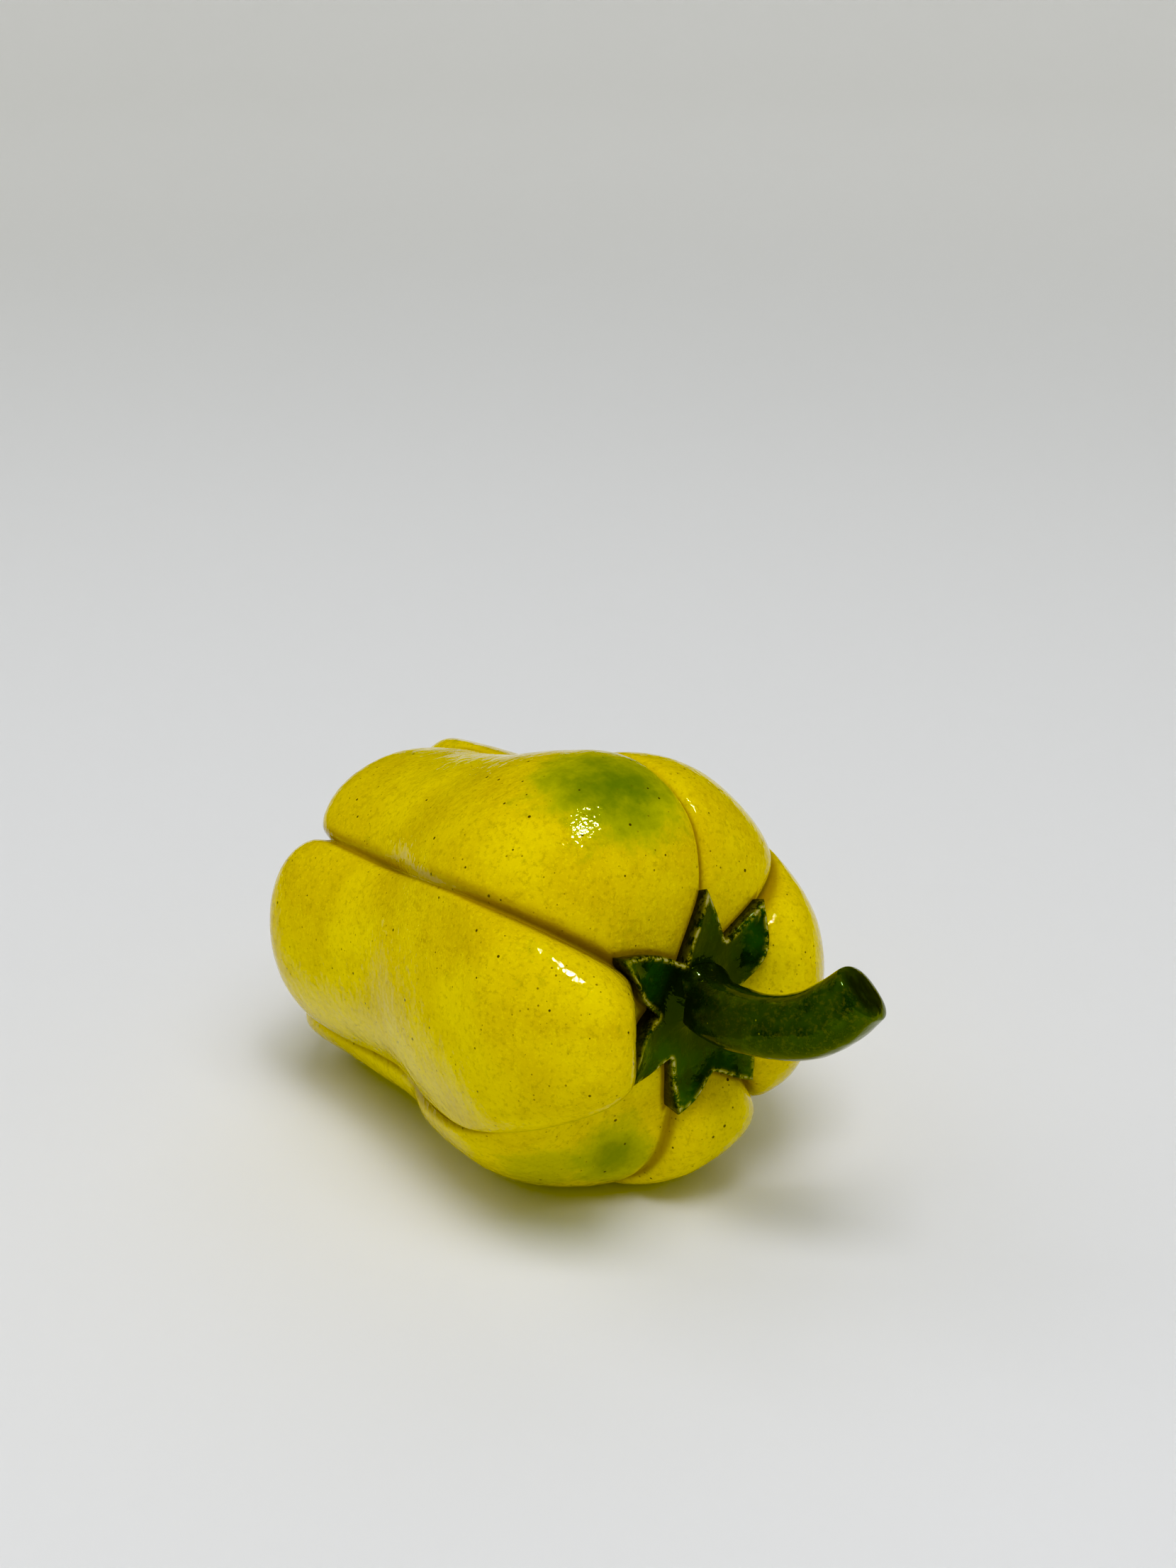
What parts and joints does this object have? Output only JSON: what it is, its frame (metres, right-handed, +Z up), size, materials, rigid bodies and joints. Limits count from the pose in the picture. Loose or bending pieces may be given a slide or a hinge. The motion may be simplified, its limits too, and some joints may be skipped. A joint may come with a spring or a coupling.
{
  "type": "glazed ceramic bell pepper",
  "caption": "Hand-built stoneware bell pepper lying on its side: lobed glossy yellow body with green blushes, dark green star calyx and a thick curved stem; a decorative vegetable.",
  "frame": {"origin": "On the table under the middle of the object's bounding box, as the pepper lies at rest.", "axes": "+X runs from the blossom end toward the stem, level with the table; +Z is up; +Y is across, away from the side that shows the front lobe."},
  "size_m": [0.1272, 0.0716, 0.0731],
  "materials": {
    "yellow_glaze": "gloss glaze over speckled clay",
    "dark_green_glaze": "gloss glaze, pale on its edges",
    "olive_green_glaze": "gloss glaze, mottled"
  },
  "bodies": {
    "root": {"pepper_body": "yellow_glaze", "calyx": "dark_green_glaze", "stem": "olive_green_glaze"}
  },
  "joints": []
}
